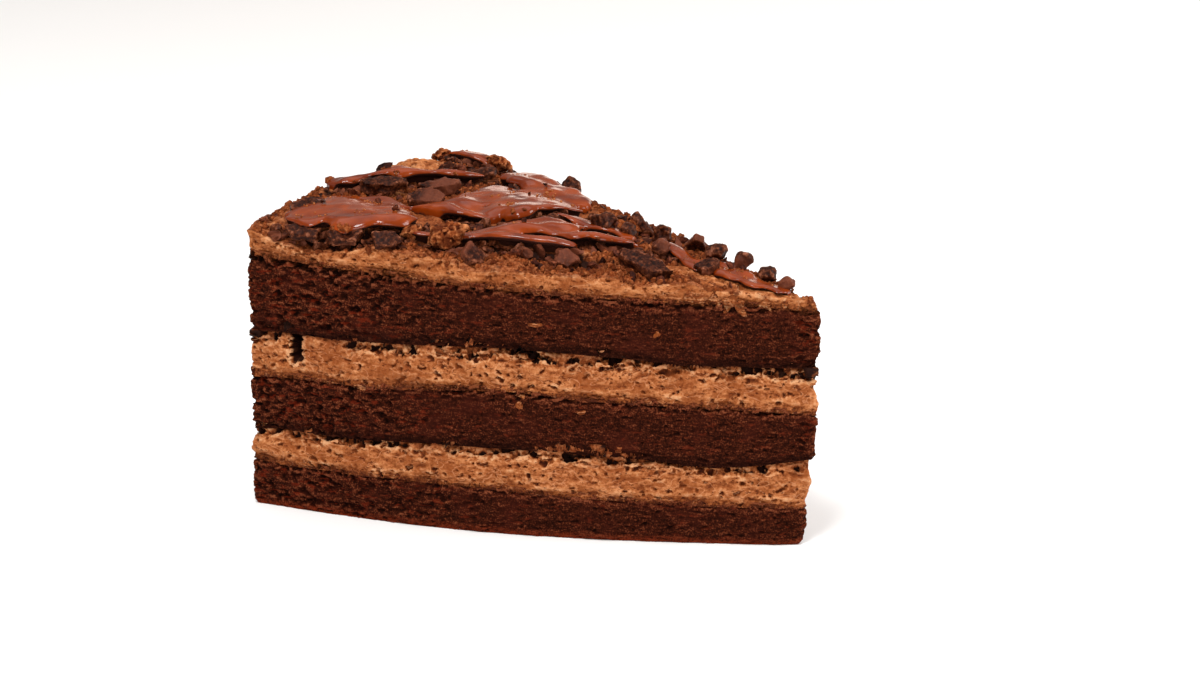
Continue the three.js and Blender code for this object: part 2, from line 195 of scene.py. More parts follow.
def select_faces(piece, chosen):
    """Leaves the piece in edit mode with these faces selected."""
    select_only(piece)
    bpy.ops.object.mode_set(mode="EDIT")
    bpy.ops.mesh.select_mode(type="FACE")
    bpy.ops.mesh.select_all(action="DESELECT")
    bpy.ops.object.mode_set(mode="OBJECT")
    piece.data.polygons.foreach_set("select", chosen)
    bpy.ops.object.mode_set(mode="EDIT")


def face_facings(piece):
    rows = np.empty(len(piece.data.polygons) * 3, np.float32)
    piece.data.polygons.foreach_get("normal", rows)
    return rows.reshape(-1, 3)


def thin_selected():
    """Thins the selected faces out, and goes back to object mode."""
    bpy.ops.mesh.decimate(ratio=0.008)
    bpy.ops.mesh.select_all(action="DESELECT")
    bpy.ops.object.mode_set(mode="OBJECT")


def layer_from(node, name, rings=8):
    """A layer with a fine skin, which reaches into its neighbours, with few faces where they hide it.
    The skin of its cuts is kept this many rings of faces further in."""
    piece = take_solids(name, node)
    rows, up = places(piece), facings(piece)
    middle = 0.5 * (rows[:, 2].max() + rows[:, 2].min())
    cap = np.abs(up[:, 2]) > 0.3
    rows[cap & (rows[:, 2] > middle), 2] += OVERLAP
    if rows[:, 2].min() > 0.002:
        rows[cap & (rows[:, 2] < middle), 2] -= OVERLAP
    put_places(piece, rows)
    shape_with(piece, "REMESH", mode="VOXEL", voxel_size=SKIN)
    select_faces(piece, np.abs(face_facings(piece)[:, 2]) < 0.75)
    for _ in range(rings):
        bpy.ops.mesh.select_more()
    bpy.ops.mesh.select_all(action="INVERT")
    thin_selected()
    return piece


def wall_weights(piece):
    return smooth_step(np.hypot(*facings(piece)[:, :2].T), 0.3, 0.7)


def height_share(piece, whole=None):
    """How high each vertex lies in its layer: 0 at its floor, and 1 at its roof or this far up, in m."""
    rows = places(piece)
    share = np.zeros(len(rows))
    width = 0.003  # the floor and the roof are read in columns of this width
    for side in (rows[:, 1] < 0, rows[:, 1] >= 0):
        x, _, z = rows[side].T
        column = np.round(x / width).astype(int)
        low, high = np.full(np.ptp(column) + 1, 1.0), np.full(np.ptp(column) + 1, -1.0)
        np.minimum.at(low, column - column.min(), z)
        np.maximum.at(high, column - column.min(), z)
        middles = width * (column.min() + np.arange(len(low)))
        floor_there, roof_there = np.interp(x, middles, low), np.interp(x, middles, high)
        share[side] = (z - floor_there) / (whole or np.maximum(roof_there - floor_there, 0.001))
    return np.clip(share, 0, 1)


def dress(piece, material, angle=math.pi):
    """Gives a piece its material, and smooths its faces where they meet at less than this angle."""
    piece.data.materials.append(material)
    select_only(piece)
    bpy.ops.object.shade_smooth_by_angle(angle=angle)


def colour(hexadecimal):
    """An sRGB hex value as the linear colour that a shader takes."""
    channels = [int(hexadecimal[i : i + 2], 16) / 255 for i in (1, 3, 5)]
    return (*(c / 12.92 if c <= 0.04045 else ((c + 0.055) / 1.055) ** 2.4 for c in channels), 1)


def new_material(name):
    material = bpy.data.materials.new(name)
    material.use_nodes = True
    material.node_tree.nodes.clear()
    return material, material.node_tree


def add(tree, kind, inputs=None, stops=None, take=0, **settings):
    """Adds a node with its settings, its inputs' values or links and its ramp's stops. Text is a colour."""
    made = tree.nodes.new("ShaderNode" + kind)
    for key, value in settings.items():
        setattr(made, key, value)
    for key, value in (inputs or {}).items():
        if isinstance(value, bpy.types.NodeSocket):
            tree.links.new(value, made.inputs[key])
        else:
            made.inputs[key].default_value = colour(value) if isinstance(value, str) else value
    for index, (position, shade) in enumerate(stops or []):
        ramp = made.color_ramp.elements
        element = ramp[index] if index < 2 else ramp.new(position)
        element.position = position
        element.color = colour(shade) if isinstance(shade, str) else (shade, shade, shade, 1)
    return made.outputs[take] if made.outputs else made


# Cocoa sponge: a matt, close crumb. The eye sees dull brown on the dragged skin, with near-black painted
# shade in its tears and a painted highlight where the crumb stands out, small lighter crumbs, and redder
# ones where it is loose. Its foot is darker, or red where it was baked on the tin, and the knife has
# smeared a little mousse on its upper edge.
sponge_crumb, tree = new_material("cocoa_sponge_crumb")
point = add(tree, "TexCoord", take="Object")
proud, share, loose, baked = (
    add(tree, "Attribute", take="Fac", attribute_name=noted)
    for noted in ("proud", "share", "loose", "baked")
)
# crumbs 0.4 mm high that the knife stretched level, patches of 7 mm, red flecks and light bits 0.9 and
# 0.6 mm high, and grit of 0.3 mm
level_lines = add(tree, "Mapping", {"Vector": point, "Scale": (0.5, 0.5, 1.6)})
crumb = add(tree, "TexNoise", {"Vector": level_lines, "Scale": 1500, "Detail": 4, "Roughness": 0.65})
patches = add(tree, "TexNoise", {"Vector": point, "Scale": 140, "Detail": 2})
flecks = add(tree, "TexNoise", {"Vector": level_lines, "Scale": 700, "Detail": 3, "Roughness": 0.7})
bits = add(tree, "TexVoronoi", {"Vector": level_lines, "Scale": 1100})
grit = add(tree, "TexNoise", {"Vector": point, "Scale": 3200, "Detail": 1})
height = add(tree, "MixRGB", {"Fac": 0.52, "Color1": proud, "Color2": crumb})
gritty = add(tree, "MixRGB", {"Fac": 0.35, "Color1": height, "Color2": grit})
# relief and crumb as one: near-black painted shade in tears and hollows, painted highlight where it stands
# out
skin_and_relief_shade = add(
    tree,
    "ValToRGB",
    {"Fac": gritty},
    stops=[(0.31, "#0c0200"), (0.5, "#2b0e05"), (0.43, "#1b0602"), (0.56, "#421a0c"), (0.64, "#6f3a24")],
)
red = add(tree, "ValToRGB", {"Fac": patches}, stops=[(0.5, 0.0), (0.74, 0.6)])
redder = add(tree, "MixRGB", {"Fac": red, "Color1": skin_and_relief_shade, "Color2": "#39130a"})
more = add(tree, "Math", {0: loose, 1: 0.03, 2: flecks}, operation="MULTIPLY_ADD")
fleck = add(tree, "ValToRGB", {"Fac": more}, stops=[(0.58, 0.0), (0.68, 0.5)])
rust = add(tree, "MixRGB", {"Fac": loose, "Color1": "#5c200f", "Color2": "#6a1e0a"})
flecked = add(tree, "MixRGB", {"Fac": fleck, "Color1": redder, "Color2": rust})
bit = add(tree, "ValToRGB", {"Fac": bits}, stops=[(0.08, 0.6), (0.18, 0.0)])
lit = add(tree, "MixRGB", {"Fac": bit, "Color1": flecked, "Color2": "#5c2b1b"})
# each sponge is darker towards its foot
foot = add(tree, "ValToRGB", {"Fac": share}, stops=[(0.05, 0.75), (0.22, 0.0)])
darker_foot = add(tree, "MixRGB", {"Fac": foot, "Color1": lit, "Color2": "#120301"})
red_crumb = add(tree, "ValToRGB", {"Fac": gritty}, stops=[(0.44, 0.1), (0.56, 0.75)])
baked_here = add(tree, "Math", {0: baked, 1: red_crumb}, operation="MULTIPLY")
skinned = add(tree, "MixRGB", {"Fac": baked_here, "Color1": darker_foot, "Color2": "#6e2812"})
ragged = add(tree, "MixRGB", {"Fac": 0.25, "Color1": share, "Color2": crumb})
smear = add(tree, "ValToRGB", {"Fac": ragged}, stops=[(0.78, 0.0), (0.88, 0.7)])
stretches = add(tree, "ValToRGB", {"Fac": patches}, stops=[(0.42, 0.0), (0.6, 1.0)])
smear_here = add(tree, "Math", {0: smear, 1: stretches}, operation="MULTIPLY")
smeared = add(tree, "MixRGB", {"Fac": smear_here, "Color1": skinned, "Color2": "#7a4222"})
bump = add(tree, "Bump", {"Height": crumb, "Strength": 0.8, "Distance": 0.0004})
shader = add(
    tree,
    "BsdfPrincipled",
    {"Base Color": smeared, "Roughness": 0.85, "IOR": 1.4, "Normal": bump, "Specular IOR Level": 0.05},
)
add(tree, "OutputMaterial", {"Surface": shader})

for node, name in (
    ("sponge_bottom", "cocoa_sponge_bottom"),
    ("sponge_middle", "cocoa_sponge_middle"),
    ("sponge_top", "cocoa_sponge_top"),
):
    piece = layer_from(node, name)
    walls = wall_weights(piece)
    wall = weigh(piece, "wall", walls)
    x = places(piece)[:, 0]
    loose = walls * np.maximum(smooth_step(-x, -0.02, 0.05), 0.7 * smooth_step(x, 0.052, 0.058))
    coarse = weigh(piece, "coarse", loose)
    note(piece, "loose", loose)
    share = height_share(piece)
    frayed = weigh(piece, "frayed", walls * smooth_step(share, 0.8, 0.92))
    # swells of the dragged crumb, level tears, a frayed upper edge, open places near the rim, crumbs
    carve(piece, "CLOUDS", (3.6, 3.6, 1.6), 0.5, wall, noise_depth=2)
    carve(piece, "CLOUDS", (2.2, 2.2, 0.5), 0.45, wall, [(0.22, 0), (0.36, 1)], middle=1, noise_depth=2)
    carve(piece, "CLOUDS", (1.8, 1.8, 0.9), 1.6, frayed, [(0.38, 0), (0.56, 1)], middle=1, noise_depth=3)
    carve(piece, "CLOUDS", (2.4, 2.4, 1.6), 0.8, coarse, [(0.34, 0), (0.5, 1)], middle=1, noise_depth=3)
    carve(piece, "CLOUDS", (0.8, 0.8, 0.6), 0.3, wall, noise_depth=1)
    note_relief(piece, 16, 0.4)
    on_tin = node == "sponge_bottom"  # its lower skin is the baked one
    note(piece, "baked", on_tin * (1 - smooth_step(share, 0.04, 0.2)))
    note(piece, "share", np.maximum(share, 0.2) if on_tin else share)
    dress(piece, sponge_crumb)
    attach(piece, "root")
    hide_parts(node)


# The two fillings of whipped chocolate mousse. Soft and airy, spread between the sponges and set cold:
# the knife drags its face into thin ridges and smears, opens small air holes, and tears it loose under
# the sponge above. Each is made from its own solid in the same way as the sponges.

# Whipped mousse: satin, full of fine air holes. The eye sees warm light brown, with a painted highlight on
# the thin ridges that the knife raised and red-brown painted shade in the holes and low at its foot, with
# stains of cocoa crumb, dark crumbs smeared over its lower edge, and near-black painted shade in its
# deep tears and hollows, where some dark crumb also lies.
mousse, tree = new_material("whipped_chocolate_mousse")
point = add(tree, "TexCoord", take="Object")
proud, share, strewn, rubble = (
    add(tree, "Attribute", take="Fac", attribute_name=noted)
    for noted in ("proud", "share", "strewn", "rubble")
)
# drag lines 0.9 mm apart and 2 mm long, a grain of 0.5 mm, stains of 8 mm, threads 2 mm apart and air
# holes of 0.6 mm
dragged = add(tree, "Mapping", {"Vector": point, "Rotation": (0, 0.3, 0), "Scale": (0.55, 0.55, 1.3)})
lines = add(tree, "TexNoise", {"Vector": dragged, "Scale": 900, "Detail": 4, "Roughness": 0.7})
grain = add(tree, "TexNoise", {"Vector": point, "Scale": 2200, "Detail": 2, "Roughness": 0.6})
stains = add(tree, "TexNoise", {"Vector": point, "Scale": 130, "Detail": 5, "Roughness": 0.7})
threads = add(tree, "TexNoise", {"Vector": dragged, "Scale": 340, "Detail": 2, "Distortion": 0.6})
pores = add(tree, "TexNoise", {"Vector": dragged, "Scale": 1300, "Detail": 3, "Roughness": 0.8})
texture = add(tree, "MixRGB", {"Fac": 0.4, "Color1": lines, "Color2": grain})
edge = add(
    tree,
    "MapRange",
    {"Value": share, "From Min": 0.1, "From Max": 0.24, "To Min": 0.4, "To Max": 1.0},
)
# relief, held low near the foot: the ramp paints shade in the holes and at the foot, and highlight on
# ridges
relief = add(tree, "Math", {0: proud, 1: edge}, operation="MINIMUM")
height = add(tree, "MixRGB", {"Fac": 0.5, "Color1": relief, "Color2": texture})
skin_and_relief_shade = add(
    tree,
    "ValToRGB",
    {"Fac": height},
    stops=[(0.3, "#381304"), (0.505, "#905029"), (0.43, "#6a3314"), (0.58, "#af6e42"), (0.67, "#c38e65")],
)
stain = add(tree, "ValToRGB", {"Fac": stains}, stops=[(0.46, 0.0), (0.6, 0.75)])
stained = add(tree, "MixRGB", {"Fac": stain, "Color1": skin_and_relief_shade, "Color2": "#7b3c18"})
whisker = add(tree, "ValToRGB", {"Fac": threads}, stops=[(0.48, 0.0), (0.5, 0.5), (0.52, 0.0)])
threaded = add(tree, "MixRGB", {"Fac": whisker, "Color1": stained, "Color2": "#c98b60"})
# the fine air holes are painted darker, as the shade inside them
pore_shade = add(tree, "ValToRGB", {"Fac": pores}, stops=[(0.36, 0.9), (0.44, 0.0)])
pore_shaded = add(tree, "MixRGB", {"Fac": pore_shade, "Color1": threaded, "Color2": "#4e1e08"})
crumby = add(tree, "Math", {0: stains, 1: strewn}, operation="MULTIPLY")
crumb_stain = add(tree, "ValToRGB", {"Fac": crumby}, stops=[(0.1, 0.0), (0.46, 0.85)])
fine_crumb = add(
    tree,
    "ValToRGB",
    {"Fac": texture},
    stops=[(0.4, "#431908"), (0.62, "#a0603a"), (0.5, "#733617")],
)
browned = add(tree, "MixRGB", {"Fac": crumb_stain, "Color1": pore_shaded, "Color2": fine_crumb})
ragged = add(tree, "MixRGB", {"Fac": 0.55, "Color1": share, "Color2": texture})
foot = add(tree, "ValToRGB", {"Fac": ragged}, stops=[(0.3, 0.8), (0.37, 0.0)])
stretches = add(tree, "ValToRGB", {"Fac": stains}, stops=[(0.46, 0.0), (0.58, 1.0)])
foot_here = add(tree, "Math", {0: foot, 1: stretches}, operation="MULTIPLY")
seam = add(tree, "ValToRGB", {"Fac": ragged}, stops=[(0.27, 0.92), (0.31, 0.0)])
soiled = add(tree, "Math", {0: foot_here, 1: seam}, operation="MAXIMUM")
footed = add(tree, "MixRGB", {"Fac": soiled, "Color1": browned, "Color2": "#40190a"})
# near-black painted shade in the deep tears and in the hollows under the ganache's lips, with some dark
# crumb
dust_and_shade_ragged = add(tree, "MixRGB", {"Fac": 0.3, "Color1": rubble, "Color2": texture})
dust_and_shade = add(tree, "ValToRGB", {"Fac": dust_and_shade_ragged}, stops=[(0.26, 0.0), (0.4, 0.95)])
dust_and_shade_applied = add(tree, "MixRGB", {"Fac": dust_and_shade, "Color1": footed, "Color2": "#170603"})
bump = add(tree, "Bump", {"Height": texture, "Strength": 0.8, "Distance": 0.0005})
shader = add(
    tree,
    "BsdfPrincipled",
    {"Base Color": dust_and_shade_applied, "Roughness": 0.65, "IOR": 1.4, "Normal": bump, "Specular IOR Level": 0.1},
)
add(tree, "OutputMaterial", {"Surface": shader})


def drag_mousse(piece, wall, torn, relief=0.4):
    """The marks of the knife on a mousse face, and the tears where its torn weight is high."""
    carve(piece, "CLOUDS", (7, 7, 2.6), 0.8, wall, noise_depth=1)
    carve(piece, "CLOUDS", (2.4, 2.4, 1.2), 0.55, wall, noise_depth=2)
    carve(piece, "VORONOI", (6, 6, 5), 1.1, wall, [(0.05, 0), (0.13, 1)], middle=1)
    carve(piece, "CLOUDS", (1.4, 1.4, 1.0), 0.7, wall, [(0.24, 0), (0.33, 1)], middle=1, noise_depth=1)
    carve(piece, "CLOUDS", (5, 5, 2.2), 0.5, torn, [(0.4, 0), (0.52, 1)], middle=1, noise_depth=2)
    carve(piece, "CLOUDS", (2.6, 2.6, 1.3), 1.5, torn, [(0.36, 0), (0.54, 1)], middle=1, noise_depth=4)
    carve(piece, "CLOUDS", (0.7, 0.7, 0.5), 0.2, wall, noise_depth=1)
    note_relief(piece, 16, relief)


def sink_edges(piece, head=0):
    """Draws a mousse face in at its foot, which the crumb below frays over, and this far at its head."""
    foot_share, share = height_share(piece, 0.008), height_share(piece)
    drawn_in = 0.0004 * (1 - smooth_step(foot_share, 0.16, 0.32)) + head * smooth_step(share, 0.72, 0.9)
    put_places(piece, places(piece) - facings(piece) * (wall_weights(piece) * drawn_in)[:, None])
    note(piece, "share", foot_share)


for node, name in (("mousse_lower", "mousse_filling_lower"), ("mousse_upper", "mousse_filling_upper")):
    piece = layer_from(node, name, rings=16)
    walls = wall_weights(piece)
    share = height_share(piece)
    wall = weigh(piece, "wall", walls)
    torn = walls * smooth_step(share, 0.55, 0.8)
    sink_edges(piece, 0.0005)
    gap = 0
    if node == "mousse_upper":  # near the rim a block of it stayed whole, beside a dark gap
        rows = places(piece)
        x, near = rows[:, 0], walls * (rows[:, 1] < 0)
        block = near * smooth_step(x, -0.0412, -0.0402) * (1 - smooth_step(x, -0.033, -0.031))
        torn = torn * (1 - block)
        gap = near * smooth_step(share, 0.3, 0.45) * (1 - smooth_step(abs(x + 0.0418), 0.0008, 0.0014))
        gap_depth = 0.004
        put_places(piece, rows - facings(piece) * (gap_depth * gap)[:, None])
    uncut = places(piece)
    drag_mousse(piece, wall, weigh(piece, "torn", torn))
    sunk = smooth_step(np.linalg.norm(places(piece) - uncut, axis=1), 0.0011, 0.0019)
    # the deep tears and the gap beside the block are painted near-black, as the shade in them, with the
    # dark crumb of the sponge that lies there
    note(piece, "rubble", np.maximum(gap, torn * sunk))
    note(piece, "strewn", 0.8 * smooth_step(share, 0.6, 0.95))
    dress(piece, mousse)
    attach(piece, "root")
    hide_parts(node)


# The top coat, of the same mousse, piled up with a spatula and rounded off at the cuts. Its solid's top
# is read as a map of heights, freed of what is narrower than 6 mm, and hollowed under the near lips of
# the ganache, which hang over the rubble of the topping. The coat is its solid with that map as its top.

TIP = 60.7  # the slice's point, in mm along x
ACROSS = (math.sin(0.337), math.cos(0.337))  # the way out of a cut, which lies 19.3 degrees off x
MAP_STEP = 0.0008  # the map's points lie this far apart, in m
map_low = np.array([-0.068, -0.052])
map_size = (170, 130)

# the middle line of each pour of ganache in plan, as x, y and its width there, all in mm
pours = [
    [
        (-47, -34.5, 5), (-44, -32, 11), (-41.5, -28, 19), (-38.5, -25, 22), (-34.5, -23, 23),
        (-30.5, -19.5, 21), (-27, -16, 9),
    ],
    [
        (-55.5, -9, 2.2), (-54.6, -4, 4.8), (-52.4, 2, 2.8), (-49.4, 7.2, 5.8), (-45, 11.6, 3.4),
        (-39.6, 16.8, 5.6), (-35.6, 21.6, 2.4),
    ],
    [
        (-27, -5, 3), (-24, -1.5, 8), (-22, 2.5, 15), (-19, 4.5, 22), (-14.5, 5.5, 25),
        (-10.5, 7, 21), (-6.5, 8.5, 12), (-3, 11, 5),
    ],
    [(-31, -12, 2), (-26, -9.5, 5), (-21, -8.5, 5.4), (-16, -8.5, 4.6), (-11, -11, 4.5)],
    [(-12, -24, 3), (-7, -19.5, 4), (-3.5, -15, 5.5), (0.5, -9.5, 7), (3, -5, 5.5), (3.5, -1, 3)],
    [
        (-21, -27, 1.2), (-15, -25.5, 1.8), (-9, -23, 1.7), (-2, -20.5, 2), (6, -17.5, 2.4),
        (14, -15.5, 1.8),
    ],
    [(0, -13, 2.6), (6, -11, 4.5), (11, -8, 5.5), (16, -5, 4), (21, -3, 2.4)],
    [
        (-34, 26, 3.4), (-30, 24, 6), (-25, 21.5, 8), (-20, 19.5, 7), (-15, 18, 6.4),
        (-9, 15.5, 5.6), (-3, 12, 4),
    ],
    [(-54.5, 31.5, 2.4), (-50, 33, 4), (-45, 33.3, 4.4), (-40, 32, 3)],
    [(-3, -1, 1.6), (2, 2, 3), (8, 3.5, 4), (13, 1.5, 3), (15, -2.5, 2)],
    [
        (31, 3, 2.4), (34.5, 2.2, 5.8), (37, 1.4, 3.4), (40, 0, 8), (42.5, -1, 3.6),
        (45, -1.4, 5.4), (48, -0.3, 2.4), (50.5, -0.5, 4.6), (53, -0.6, 2),
    ],
    [(20, 4, 2), (25, 2, 3), (30, -1, 3.4), (36, -4, 2.4)],
]

DROP, DOWN = 0.2, Vector((0, 0, -1))  # things are dropped on the slice from this height, in m


def seen_from_above(*nodes):
    """The highest place of these nodes over each point of the map, and nothing where there is none."""
    heights = np.full(map_size, np.nan)
    for node in nodes:
        mesh = frame["nodes"][node].data
        tree = BVHTree.FromPolygons([v.co for v in mesh.vertices], [p.vertices for p in mesh.polygons])
        for i in range(map_size[0]):
            for j in range(map_size[1]):
                x, y = map_low + MAP_STEP * np.array([i, j])
                hit = tree.ray_cast(Vector((x, y, DROP)), DOWN)[0]
                if hit is not None:
                    heights[i, j] = np.fmax(heights[i, j], hit.z)
    return heights


def spread(heights, reach, pick):
    """Each point takes the lowest or highest height within this many steps of it."""
    made = heights.copy()
    for axis in (0, 1):
        for _ in range(reach):
            made = pick(made, pick(np.roll(made, 1, axis), np.roll(made, -1, axis)))
    return made


def blur(heights, rounds):
    for _ in range(rounds):
        for axis in (0, 1):
            heights = 0.5 * heights + 0.25 * (np.roll(heights, 1, axis) + np.roll(heights, -1, axis))
    return heights


def read_map(heights, x, y):
    """The map's height at these places, between its points."""
    u = np.clip((np.asarray(x) - map_low[0]) / MAP_STEP, 0, map_size[0] - 1.001)
    v = np.clip((np.asarray(y) - map_low[1]) / MAP_STEP, 0, map_size[1] - 1.001)
    i, j = u.astype(int), v.astype(int)
    u, v = u - i, v - j
    low = heights[i, j] * (1 - u) + heights[i + 1, j] * u
    high = heights[i, j + 1] * (1 - u) + heights[i + 1, j + 1] * u
    return low * (1 - v) + high * v


marks = [1000 * (map_low[k] + MAP_STEP * np.arange(map_size[k])) for k in (0, 1)]
map_x, map_y = np.meshgrid(*marks, indexing="ij")
past_pour = np.full(map_size, 99.0)  # how far outside the nearest pour a place lies, in mm
for pour in pours:
    for (ax, ay, aw), (bx, by, bw) in zip(pour, pour[1:]):
        t = ((map_x - ax) * (bx - ax) + (map_y - ay) * (by - ay)) / ((bx - ax) ** 2 + (by - ay) ** 2)
        t = np.clip(t, 0, 1)
        away = np.hypot(map_x - ax - t * (bx - ax), map_y - ay - t * (by - ay))
        past_pour = np.minimum(past_pour, away - 0.5 * (aw + t * (bw - aw)))
slope_x, slope_y = np.gradient(blur(past_pour, 2), 1000 * MAP_STEP)
lip_side = np.clip(0.55 * slope_x - 0.83 * slope_y, 0, 1)  # the lips on the camera's side
lip_side = lip_side * smooth_step(past_pour, -4.5, -1.5)
lip_side = blur(lip_side * (1 - smooth_step(past_pour, 1.6, 3.4)), 1)
from_tip = TIP - map_x
far_margin = from_tip * ACROSS[0] - map_y * ACROSS[1]  # how far inside the far cut, in mm
near_lip = smooth_step(from_tip, 22, 55) * smooth_step(map_x, -59, -53) * smooth_step(far_margin, 4, 10)
near_lip = near_lip * lip_side * (0.4 + 0.6 * smooth_step(np.hypot(map_x + 12, map_y + 7), 6, 13))

bare = seen_from_above("mousse_top")
for _ in range(14):  # past the coat's edge the map keeps the height of the edge
    bare = np.where(np.isnan(bare), spread(bare, 1, np.fmax), bare)
bare = np.where(np.isnan(bare), np.nanmin(bare), bare)
bumpy_map = blur(bare, 3)
coat_map = blur(spread(spread(bare, 4, np.minimum), 4, np.maximum), 3)
hollow_depth, hollow_floor = 0.0023, 0.0545  # in m, and no hollow goes below that floor
hollowed_map = np.maximum(coat_map - hollow_depth * near_lip, np.minimum(coat_map, hollow_floor))

coat = take_solids("mousse_coat", "mousse_top")
shape_with(coat, "REMESH", mode="VOXEL", voxel_size=0.0007)
rows, up = places(coat), facings(coat)
top = read_map(hollowed_map, rows[:, 0], rows[:, 1])
rows[:, 2] = np.where((up[:, 2] > 0.2) | (rows[:, 2] > top), top, rows[:, 2])
rows[up[:, 2] < -0.6, 2] -= OVERLAP
put_places(coat, rows)
shape_with(coat, "REMESH", mode="VOXEL", voxel_size=0.00034)
select_faces(coat, face_facings(coat)[:, 2] < -0.8)
for _ in range(7):
    bpy.ops.mesh.select_less()
thin_selected()
above = smooth_step(facings(coat)[:, 2], 0.1, 0.5)
upper = weigh(coat, "above", above)
whole = weigh(coat, "whole", np.maximum(above, wall_weights(coat)))
sink_edges(coat)
carve(coat, "CLOUDS", (5, 5, 5), 1.4, upper, noise_depth=2)
carve(coat, "CLOUDS", (1.8, 1.8, 1.8), 1.0, upper, noise_depth=3)
drag_mousse(coat, whole, weigh(coat, "torn", above * 0), relief=0.65)


def bareness(x, y):
    """1 on the peaks of mousse that nothing was strewn on, and 0 elsewhere, at places in plan in mm."""
    bare = np.zeros(np.shape(x))
    for peak_x, peak_y, reach in (
        (-53, 17, 9), (-54, 25, 6), (-42, -4, 4), (-28, 28, 6), (30, -6, 4), (38, -6, 5), (46, -4, 5),
        (53, -2, 5),
    ):
        bare = np.maximum(bare, 1 - smooth_step(np.hypot(x - peak_x, y - peak_y), reach * 0.6, reach))
    return bare


rows = places(coat)
x, y, z = 1000 * rows.T
rim = 0.7 * smooth_step(z, 53.5, 57) * smooth_step(x, -12, 4) * (1 - smooth_step(x, 24, 34))
note(coat, "strewn", np.maximum(above * (1 - 0.85 * bareness(x, y)), rim))
bowed = 7.5 * np.sin(math.pi * np.clip((TIP - x) / 113, 0, 1) ** 1.15)
near_margin = (TIP - x) * ACROSS[0] + y * ACROSS[1] + bowed  # how far inside the near cut, in mm
upward = smooth_step(facings(coat)[:, 2], -0.1, 0.25) * smooth_step(near_margin, 1.5, 4)
# the hollows under the near lips of the ganache are painted near-black, as shade, where the topping's
# rubble lies
note(coat, "rubble", upward * read_map(lip_side, *rows.T[:2]) * smooth_step(TIP - x, 22, 45))
dress(coat, mousse)
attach(coat, "root")
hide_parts("mousse_top")


# The ganache. Milk chocolate melted into cream and poured warm from a spoon: it sets in glossy sheets
# with rounded lips, with runs and threads between them. It is laid out flat as round strands, which are
# fused, flattened, made fluid and then let down on the topping, where it bridges the hollows.



def strands_from(name, lines, roundness):
    """Round strands along these lines of points, each a place in m and a radius in mm, as one piece."""
    curve = bpy.data.curves.new(name, "CURVE")
    curve.dimensions = "3D"
    curve.bevel_depth = 0.001
    curve.bevel_resolution = roundness
    curve.use_fill_caps = True
    for line in lines:
        spline = curve.splines.new("POLY")
        spline.points.add(len(line) - 1)
        for spot, (place, radius) in zip(spline.points, line):
            spot.co = (*place, 1)
            spot.radius = radius
    piece = new_object(name, curve)
    select_only(piece)
    bpy.ops.object.convert(target="MESH")
    return piece


def resize(piece, size, flipped=False):
    """Scales a piece by these three numbers. Flipped also turns its faces over."""
    select_only(piece)
    bpy.ops.object.mode_set(mode="EDIT")
    bpy.ops.mesh.select_all(action="SELECT")
    bpy.ops.transform.resize(value=size, center_override=(0, 0, 0))
    if flipped:
        bpy.ops.mesh.flip_normals()
    bpy.ops.object.mode_set(mode="OBJECT")


luck = random.Random(7)
lines = []
for pour in pours:
    stations = [Vector(station) for station in pour]
    stations = [2 * stations[0] - stations[1], *stations, 2 * stations[-1] - stations[-2]]
    line = []
    for a, b, c, d in zip(stations, stations[1:], stations[2:], stations[3:]):
        for step in range(6):
            t = step / 6
            bend = (2 * a - 5 * b + 4 * c - d) * t * t
            line.append(0.5 * (2 * b + (c - a) * t + bend + (3 * b - a - 3 * c + d) * t**3))
    strands = max(1, round(max(width for _, _, width in pour) / 2.1))
    for strand in range(strands):
        lip = strand == 0 and strands > 2
        first, last = 0, len(line)
        if strands > 1:
            first, last = luck.randint(0, 2), last - luck.randint(0, 2)
        seed = luck.uniform(0, 100)
        lines.append([])
        for order, index in enumerate(range(first, last)):
            ahead = line[min(index + 1, len(line) - 1)] - line[max(index - 1, 0)]
            across = Vector((-ahead.y, ahead.x, 0)).normalized()
            swell = 1 + 0.4 * noise.noise(Vector((index * 0.25, 3, line[0].x)))
            width = max(line[index].z, 1) * swell
            wander = noise.noise(Vector((seed, index * 0.3, 0))) * min(1.5, 0.3 * width)
            spot = line[index].xy.to_3d() + across * (((strand + 0.5) / strands - 0.5) * width + wander)
            end = min(order, last - first - 1 - order)
            uneven = 1 + 0.25 * noise.noise(Vector((index * 0.35, seed, 5)))
            girth = max(width / strands * 1.02, 0.9) * uneven
            radius = girth * (1.1 if lip else 1) * min(1, 0.7 + 0.15 * end)
            lines[-1].append(((spot + Vector((0, 0, 0.4 if lip else 0))) / 1000, radius))
ganache = strands_from("ganache", lines, 3)
resize(ganache, (1, 1, 0.48))
shape_with(ganache, "REMESH", mode="VOXEL", voxel_size=0.00034)
shape_with(ganache, "SMOOTH", factor=0.5, iterations=32)
carve(ganache, "CLOUDS", (8, 8, 8), 0.7, direction="Z")
rows = places(ganache)
on_lip = smooth_step(read_map(lip_side, *rows.T[:2]), 0.08, 0.3)
resting = smooth_step(-facings(ganache)[:, 2], 0.1, 0.6) * (1 - on_lip)
rows[:, 2] -= 0.0018 * resting  # a sheet fills what is under it, but not under its lips
bridged = blur(spread(coat_map + 0.35 * np.maximum(bumpy_map - coat_map, 0), 2, np.maximum), 10)
bridged = blur(np.minimum(bridged, coat_map + 0.0012), 2)
thin_end = smooth_step(map_x, 20, 34)
bed = bridged * (1 - thin_end) + blur(coat_map, 2) * thin_end
rows[:, 2] += read_map(bed + 0.0008 * near_lip, rows[:, 0], rows[:, 1])
rows[:, 2] += 0.0007 - 0.0004 * smooth_step(rows[:, 0], 0.02, 0.034)  # the runs near the point sink in
put_places(ganache, rows)
shape_with(ganache, "SMOOTH", factor=0.5, iterations=8)
